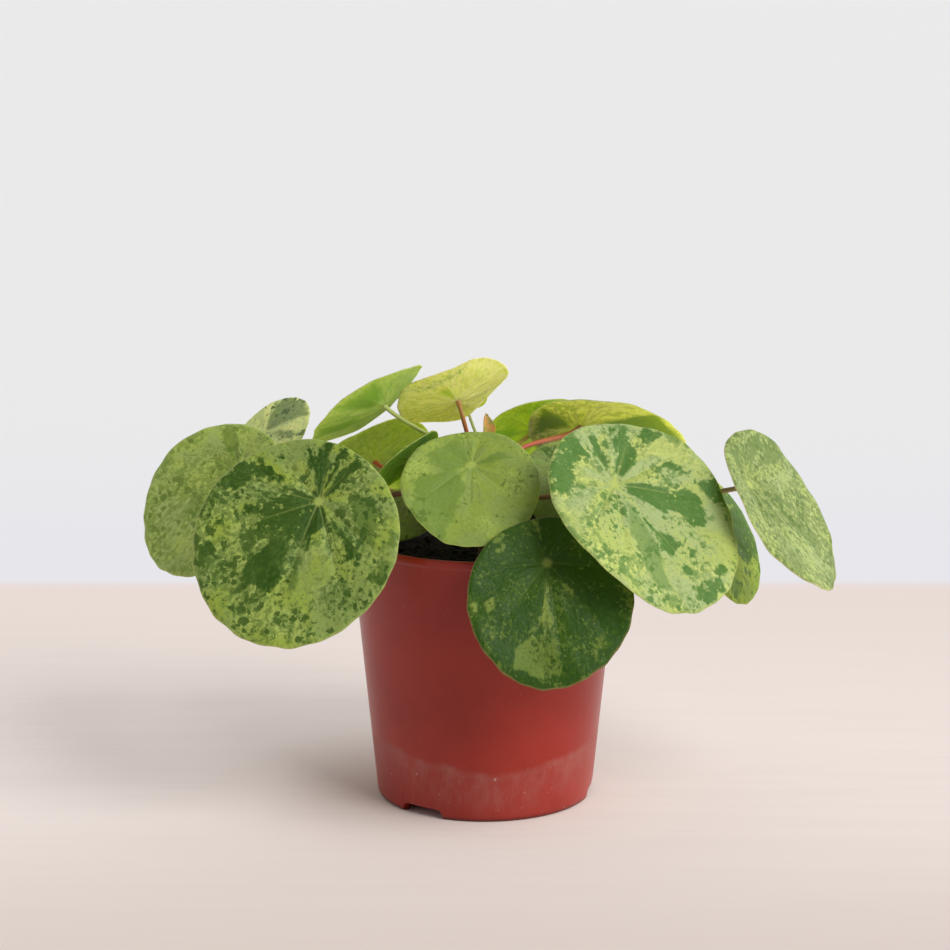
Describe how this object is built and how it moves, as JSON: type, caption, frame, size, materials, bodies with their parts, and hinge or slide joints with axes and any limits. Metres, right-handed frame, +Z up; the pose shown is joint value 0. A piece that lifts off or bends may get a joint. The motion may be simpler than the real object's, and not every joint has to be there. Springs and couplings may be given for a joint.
{
  "type": "potted pilea plant",
  "caption": "Bushy variegated pilea with round, peltate leaves on thin arching petioles, rooted in a tapered round plastic nursery pot filled with soil.",
  "frame": {"origin": "centre of the pot's foot, on the surface it stands on", "axes": "+Z up, -Y towards the front of the plant, +X towards its right side as seen from the front"},
  "size_m": [0.3077, 0.1919, 0.1992],
  "materials": {
    "pot": "satin thermoformed plastic with a limescale band",
    "soil": "dark moist peat",
    "stem": "woody, with leaf scars",
    "leaf": "smooth, slightly glossy, variegated lime and dark green",
    "dark_leaf": "smooth, slightly glossy, mostly dark green",
    "pale_leaf": "smooth, slightly glossy, mostly yellow-green",
    "petiole": "smooth, green to brownish red"
  },
  "bodies": {
    "root": {"pot": "pot", "soil": "soil", "stem": "stem", "blade_far_left": "leaf", "petiole_far_left": "petiole", "blade_big_left": "leaf", "petiole_big_left": "petiole", "blade_rear_left": "leaf", "petiole_rear_left": "petiole", "blade_upper_left": "leaf", "petiole_upper_left": "petiole", "blade_mid_left": "leaf", "petiole_mid_left": "petiole", "blade_narrow": "leaf", "petiole_narrow": "petiole", "blade_top": "pale_leaf", "petiole_top": "petiole", "blade_centre": "leaf", "petiole_centre": "petiole", "blade_inner_right": "leaf", "petiole_inner_right": "petiole", "blade_big_right": "leaf", "petiole_big_right": "petiole", "blade_upper_right": "leaf", "petiole_upper_right": "petiole", "blade_rear_right": "leaf", "petiole_rear_right": "petiole", "blade_low_right": "leaf", "petiole_low_right": "petiole", "blade_far_right": "leaf", "petiole_far_right": "petiole", "blade_front_low": "dark_leaf", "petiole_front_low": "petiole", "blade_bud": "pale_leaf", "petiole_bud": "petiole", "blade_inner_left": "leaf", "petiole_inner_left": "petiole", "blade_young": "leaf", "petiole_young": "petiole", "blade_back_left": "leaf", "petiole_back_left": "petiole", "blade_back_right": "leaf", "petiole_back_right": "petiole", "blade_back_low": "leaf", "petiole_back_low": "petiole"}
  },
  "joints": []
}
